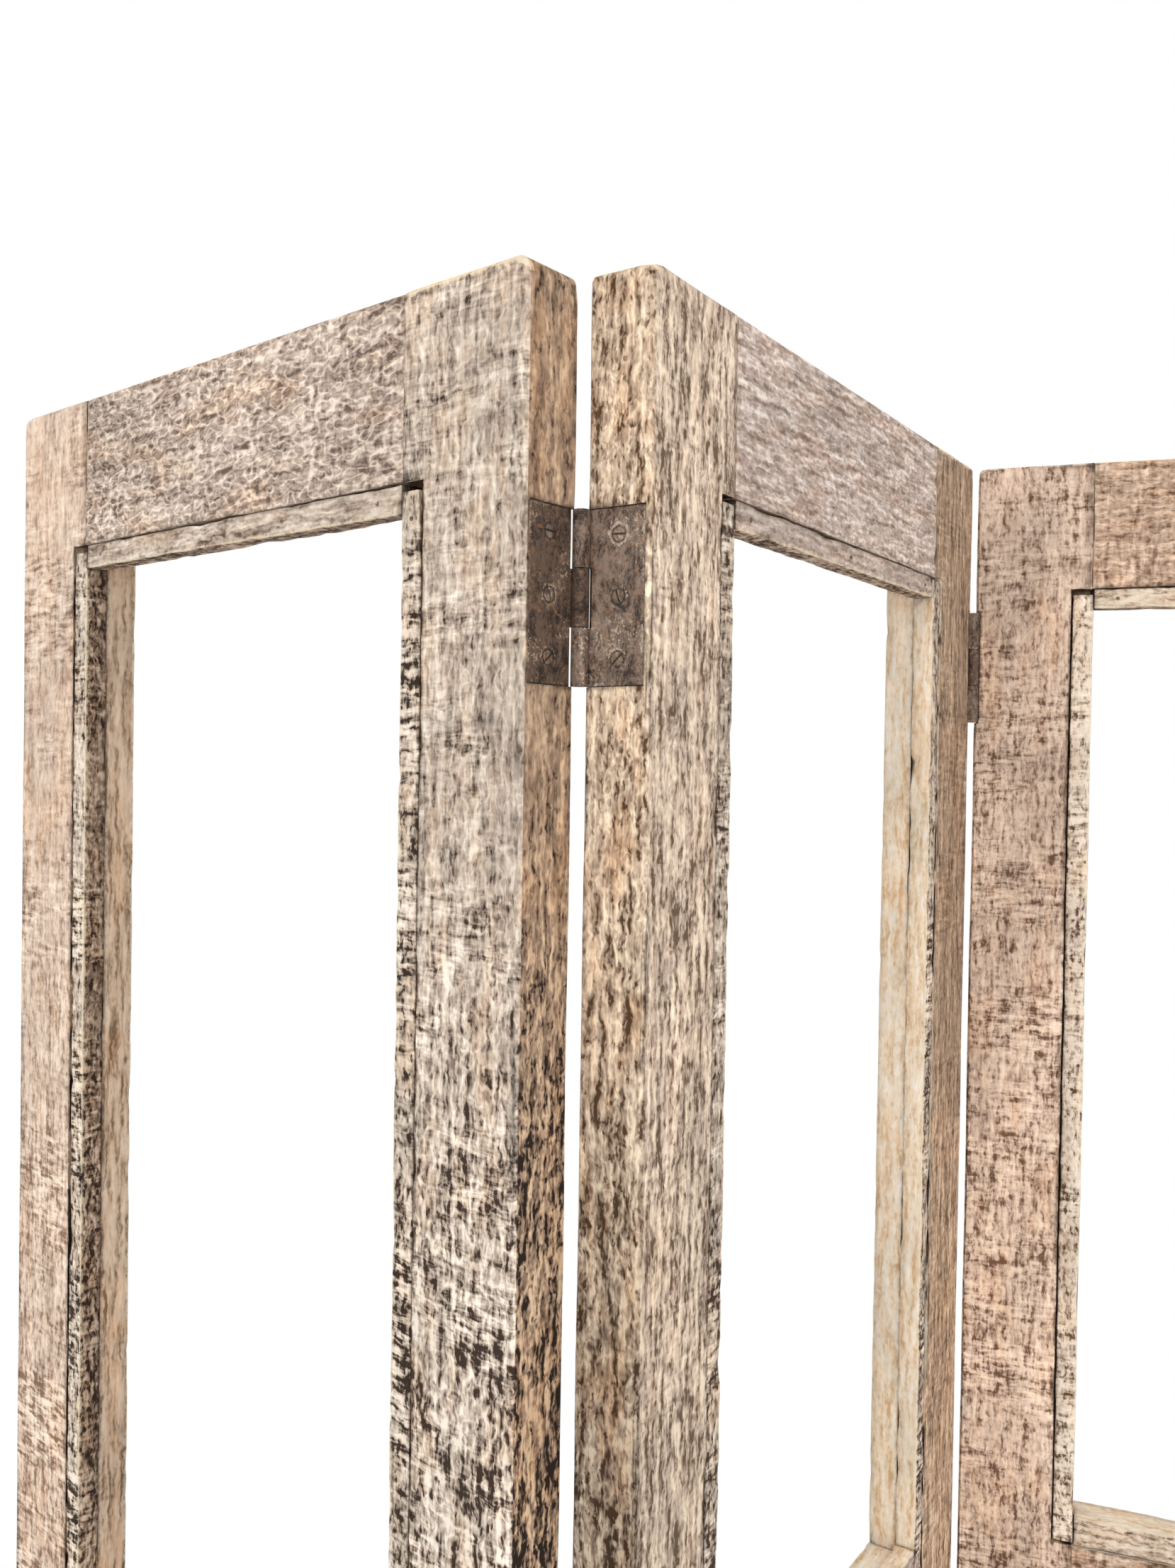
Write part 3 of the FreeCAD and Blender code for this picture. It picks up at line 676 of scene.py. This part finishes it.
def seams_of(panel, part, spots):
    """How far each spot is from the pieces that meet the board; flush joints count as further off."""
    node = f"{panel}_panel_{part}"
    neighbours = [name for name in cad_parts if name.startswith(f"{panel}_panel_") and name != node]
    flush = [name for name in neighbours if not (part.endswith("stop") or name.endswith("stop"))]
    # The leaves count among the let-in pieces, so the seams' grime and painted shade run round them too
    let_in = [name for name in neighbours if name not in flush] + IRON
    seam = [max(gap, SEAM_DIRT_AND_SHADE - 3 * gap) for gap in gaps_to(shape_of(let_in), spots, FAR)]
    if flush:
        joints = gaps_to(shape_of(flush), spots, FAR)
        seam = [min(gap, joint + FLUSH_JOINT) for gap, joint in zip(seam, joints)]
    return seam


def hand_worked(vertex, spot, seed, off_arris, off_iron):
    """How far planing and bites move a point of a board. Nothing moves beside the leaves."""
    rough = noise.noise(spot * 55 + Vector((seed, 5, 2))) + 0.5 * noise.noise(spot * 140)
    bite = max(0.0, rough) * max(0.0, 1 - off_arris / BITE_WIDTH) * BITE_DEPTH
    return vertex.normal * (wavy(spot, seed, *PLANING) - bite) * (off_iron / FAR)


def hewn_board(panel, part, along, seed, slot):
    """Replaces a wooden node by a board with worn arrises and hand-planed faces."""
    node, stand, body = f"{panel}_panel_{part}", STANDS[panel], f"{panel}_panel"
    bm = clean_copy(node, stand)
    bmesh.ops.bevel(
        bm, geom=sharp_edges(bm, 10 * MM), offset=BOARD_ARRIS, segments=2, profile=0.5,
        affect="EDGES", material=-1, clamp_overlap=True,
    )
    divide(bm, along, *BOARD_CUTS)
    bm.normal_update()
    if node in SHAVED:
        shave_end(bm, *SHAVED[node])
    marks = [vertex.co.copy() for edge in sharp_edges(bm) for vertex in edge.verts]
    arris = nearest(bm, marks, ARRIS_REACH)
    spots = [stand @ v.co for v in bm.verts]
    seam = seams_of(panel, part, spots)
    off_iron = gaps_to(IRON_SHAPE, spots, FAR)
    # The tone: patches on the front, with painted shade and a painted sheen among them, and painted shade
    # along the back arrises of the other faces
    tone = [
        toned(panel, v.co) if v.co.y < 2 * MM else back_arris_shade(v.co, off)
        for v, off in zip(bm.verts, arris)
    ]
    order = (1, 2, 0) if along == 0 else (0, 1, 2)
    shift = Vector((seed * 0.37, seed * 0.21, seed * 0.53))
    board = [Vector(v.co[axis] for axis in order) + shift for v in bm.verts]
    inward = 1 if "left" in part else -1
    for face in bm.faces:
        face.smooth = True
        face.material_index = side_index(face.normal, inward)
    for edge in bm.edges:
        edge.smooth = not (edge.is_manifold and edge.calc_face_angle() > 0.9)
    moves = [
        hand_worked(vertex, spot, seed, off, clear)
        for vertex, spot, off, clear in zip(bm.verts, board, arris, off_iron)
    ]
    for vertex, move in zip(bm.verts, moves):
        vertex.co += move
    bmesh.ops.transform(bm, matrix=stand, verts=bm.verts)
    piece = piece_from(bm, f"hewn_{node}")
    write(piece.data, "board", "FLOAT_VECTOR", "vector", [value for spot in board for value in spot])
    for name, values in (("arris", arris), ("seam", seam), ("tone", tone)):
        write(piece.data, name, "FLOAT", "value", values)
    for wood in woods_for(panel, part):
        piece.data.materials.append(WOODS[wood])
    finish_piece(piece, body, slot, node)


def shave_end(bm, outward, cut, side, reach):
    """Shortens an upright stop at its top and pares its outer side away towards that end."""
    top = max(v.co.z for v in bm.verts)
    outer = max(v.co.x * outward for v in bm.verts)
    for vertex in bm.verts:
        down = top - vertex.co.z
        if vertex.co.x * outward > outer - 1.5 * MM:
            vertex.co.x -= outward * side * max(0.0, 1 - down / reach)
        if down < cut + MM:
            vertex.co.z = min(vertex.co.z, top - cut - 0.25 * down)


def write(mesh, name, kind, field, values):
    mesh.attributes.new(name, kind, "POINT").data.foreach_set(field, values)


def finish_piece(piece, body, slot, *nodes):
    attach(piece, body)
    if nodes:
        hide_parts(*nodes)


# Iron: leaves, screws and brads


def worn_leaf(node, axis, seed):
    """Replaces a leaf by one with softened corners and a slightly pitted plate; its eye keeps its bore."""
    bm = clean_copy(node, Matrix())
    bm.normal_update()
    far = [edge for edge in sharp_edges(bm, 5 * MM) if all(off_axis(v.co, axis) > FAR for v in edge.verts)]
    bmesh.ops.bevel(
        bm, geom=far, offset=LEAF_ARRIS, segments=2, profile=0.5,
        affect="EDGES", material=-1, clamp_overlap=True,
    )
    divide(bm, 2, *LEAF_CUTS)
    bm.normal_update()
    marks = [v.co.copy() for edge in sharp_edges(bm) for v in edge.verts if off_axis(v.co, axis) > FAR]
    off_border = [BORDER_MARGIN + off for off in nearest(bm, marks, FAR)]
    moves = []
    for vertex in bm.verts:
        free = min(1.0, max(0.0, (off_axis(vertex.co, axis) - EYE_RADIUS) / EYE_BLEND))
        pitting = PITTING * noise.noise(vertex.co * 170 + Vector((seed, 0, 0)))
        moves.append(vertex.normal * pitting * free)
    for vertex, move in zip(bm.verts, moves):
        vertex.co += move
    for face in bm.faces:
        face.smooth = True
    for edge in bm.edges:
        edge.smooth = not (edge.is_manifold and edge.calc_face_angle() > 0.7)
    piece = piece_from(bm, f"worn_{node}")
    joint, side = node.split("_")[0], "inner" if "inner" in node else "outer"
    screws = shape_of([f"{joint}_hinge_{side}_screws"])
    off_screws = gaps_to(screws, [v.co for v in piece.data.vertices], FAR)
    # rim: how far from the screws and the plate's border, where the iron paints shade
    write(piece.data, "rim", "FLOAT", "value", [min(gap, off) for gap, off in zip(off_screws, off_border)])
    piece.data.materials.append(LEAF_IRON[side])
    body = "middle_panel" if side == "inner" else f"{joint}_panel"
    finish_piece(piece, body, "hinge_iron", node)


def off_axis(spot, axis):
    return math.hypot(spot.x - axis.x, spot.y - axis.y)


def islands(bm):
    """The separate solids of a shape, as lists of vertices."""
    left, found = set(bm.verts), []
    while left:
        front, island = [left.pop()], []
        while front:
            vertex = front.pop()
            island.append(vertex)
            joined = [edge.other_vert(vertex) for edge in vertex.link_edges]
            fresh = [other for other in joined if other in left]
            left.difference_update(fresh)
            front += fresh
        found.append(island)
    return found


def slotted_screws(node, panel):
    """Replaces the screws of one side of a joint by raised-head screws with slots."""
    stand = STANDS[panel]
    source = clean_copy(node, stand)
    width = WIDTHS[panel]
    bm, in_slot = bmesh.new(), []
    solids = sorted(islands(source), key=lambda solid: max(v.co.z for v in solid))
    for index, solid in enumerate(solids):
        low, high = ends_of(solid)
        outward = -1 if (low.x + high.x) / 2 < width / 2 else 1
        head = Vector((low.x if outward < 0 else high.x, (low.y + high.y) / 2, (low.z + high.z) / 2))
        turn = Matrix.Rotation(math.radians(90 * outward), 4, "Y") @ Matrix.Rotation(index * 1.17, 4, "Z")
        screw = screw_shape((high.z - low.z) / 2, high.x - low.x)
        screw.transform(stand @ Matrix.Translation(head) @ turn)
        mesh = bpy.data.meshes.new("screw")
        screw.to_mesh(mesh)
        screw.free()
        bm.from_mesh(mesh)
        # The slot gets rim 0, so the iron paints it near black, as shade
        in_slot += [0.0 if vertex.select else FAR for vertex in mesh.vertices]
        bpy.data.meshes.remove(mesh)
    source.free()
    piece = piece_from(bm, f"slotted_{node}")
    write(piece.data, "rim", "FLOAT", "value", in_slot)
    piece.data.materials.append(SCREW_IRON)
    finish_piece(piece, f"{panel}_panel", "screw_iron", node)


def screw_shape(radius, length):
    """A wood screw along Z with its raised head on top, at the origin, and a slot across it."""
    shank = 0.56 * radius
    outline = [(0, HEAD_RISE), (0.45 * radius, 0.8 * HEAD_RISE), (0.8 * radius, 0.45 * HEAD_RISE)]
    outline += [(radius, 0), (radius, -HEAD_RIM), (shank, shank - radius - HEAD_RIM)]
    outline += [(shank, -0.75 * length), (0.15 * shank, -length), (0, -length)]
    bm = bmesh.new()
    verts = [bm.verts.new((x, 0, z)) for x, z in outline]
    edges = [bm.edges.new(pair) for pair in zip(verts, verts[1:])]
    bmesh.ops.spin(
        bm, geom=verts + edges, axis=UP, cent=(0, 0, 0), angle=math.tau, steps=18, use_merge=True,
    )
    bmesh.ops.remove_doubles(bm, verts=bm.verts, dist=0.01 * MM)
    for offset in (-0.5, -0.4, 0.4, 0.5):
        geometry = bm.verts[:] + bm.edges[:] + bm.faces[:]
        beside = (offset * MM, 0, 0)
        bmesh.ops.bisect_plane(bm, geom=geometry, dist=0.001 * MM, plane_co=beside, plane_no=(1, 0, 0))
    for vertex in bm.verts:
        vertex.select = abs(vertex.co.x) < SLOT_WIDTH / 2 and vertex.co.z > -0.1 * MM
        if vertex.select:
            vertex.co.z = -SLOT_DEPTH
    bmesh.ops.recalc_face_normals(bm, faces=bm.faces)
    for face in bm.faces:
        face.smooth = False
    return bm


def ends_of(verts):
    """The lowest and highest corners of some vertices."""
    return (Vector(pick(v.co[axis] for v in verts) for axis in range(3)) for pick in (min, max))


def brads(panel):
    """Small nail heads along the middle of every stop's front."""
    stand = STANDS[panel]
    facing = Matrix.Rotation(math.radians(90), 4, "X")
    bm = bmesh.new()
    for opening in OPENINGS:
        for part in ("left", "right", "head", "sill"):
            source = clean_copy(f"{panel}_panel_{opening}_{part}_stop", stand)
            low, high = ends_of(source.verts)
            source.free()
            along = 2 if part in ("left", "right") else 0
            length = high[along] - low[along]
            count = 5 if along == 2 else 3
            for index in range(count):
                spot = (low + high) / 2
                share = (index - (count - 1) / 2) / (count - 1)
                unevenness = 3 * MM * noise.noise(spot * 90 + Vector((index, 0, 0)))
                spot[along] += share * (length - BRAD_MARGIN) + unevenness
                spot.y = low.y
                bmesh.ops.create_cone(
                    bm, cap_ends=True, segments=10, radius1=BRAD_RADIUS, radius2=BRAD_TIP,
                    depth=BRAD_HEIGHT, matrix=stand @ Matrix.Translation(spot) @ facing,
                )
    piece = piece_from(bm, f"{panel}_brads")
    write(piece.data, "rim", "FLOAT", "value", [FAR] * len(piece.data.vertices))
    piece.data.materials.append(SCREW_IRON)
    finish_piece(piece, f"{panel}_panel", "screw_iron")


aim_camera()
light_studio()
lay_floor()

STANDS = {panel: stand_of(panel) for panel in PANELS}
TOP = cad_box[1][2]
IRON = [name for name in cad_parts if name.endswith("leaf")]
IRON_SHAPE = shape_of(IRON)

# Darker and paler patches, some of them painted shade and one a painted sheen: panel, across and down from
# its top left, half width and height, change
PATCHES_SHADE_AND_SHEEN = (
    ("left", 412, 204, 34, 6, -0.25),
    ("left", 410, 236, 30, 4, -0.14),
    ("left", 425, 20, 25, 30, 0.05),
    ("left", 425, 3, 40, 9, 0.16),
    ("middle", 29, 362, 8, 45, 0.30),
    # A painted sheen at the middle panel's top left
    ("middle", 75, 20, 60, 26, 0.12),
    # Painted shade down the middle panel's right stile, beside the joint with the right panel
    ("middle", 430, 330, 30, 260, -0.14),
    ("right", 36, 214, 40, 16, -0.18),
    ("right", 34, 800, 34, 34, -0.18),
    ("right", 30, 55, 46, 40, -0.08),
)

# Upright stops cut short: which way is outward, how much at the top, how much at the side, over what height
SHAVED = {
    "left_panel_upper_right_stop": (1, 2.5 * MM, 2.6 * MM, 42 * MM),
    "left_panel_upper_left_stop": (-1, 3.0 * MM, 1.5 * MM, 20 * MM),
    "middle_panel_upper_left_stop": (-1, 1.5 * MM, 0.8 * MM, 60 * MM),
    "right_panel_upper_left_stop": (-1, 2.6 * MM, 0.4 * MM, 20 * MM),
}

WIDTHS = {}
for panel in PANELS:
    home = STANDS[panel].inverted()
    right_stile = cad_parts[f"{panel}_panel_right_stile"].data
    WIDTHS[panel] = max((home @ v.co).x for v in right_stile.vertices)

for number, panel in enumerate(PANELS):
    parts = [(f"{side}_stile", 2, "frame_wood") for side in ("left", "right")]
    parts += [(f"{level}_rail", 0, "frame_wood") for level in ("top", "mid", "bottom")]
    for opening in OPENINGS:
        parts += [(f"{opening}_{side}_stop", 2, "stop_wood") for side in ("left", "right")]
        parts += [(f"{opening}_{edge}_stop", 0, "stop_wood") for edge in ("head", "sill")]
    for index, (part, along, slot) in enumerate(parts):
        hewn_board(panel, part, along, 7 * number + index + 1, slot)
    brads(panel)

for joint in ("left", "right"):
    axis = middle_of(f"{joint}_hinge_pins")
    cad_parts[f"{joint}_hinge_pins"].data.materials.clear()
    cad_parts[f"{joint}_hinge_pins"].data.materials.append(PIN_IRON)
    for number, level in enumerate(("bottom", "middle", "top")):
        worn_leaf(f"{joint}_{level}_hinge_inner_leaf", axis, number + 1)
        worn_leaf(f"{joint}_{level}_hinge_outer_leaf", axis, number + 5)
    slotted_screws(f"{joint}_hinge_inner_screws", "middle")
    slotted_screws(f"{joint}_hinge_outer_screws", joint)
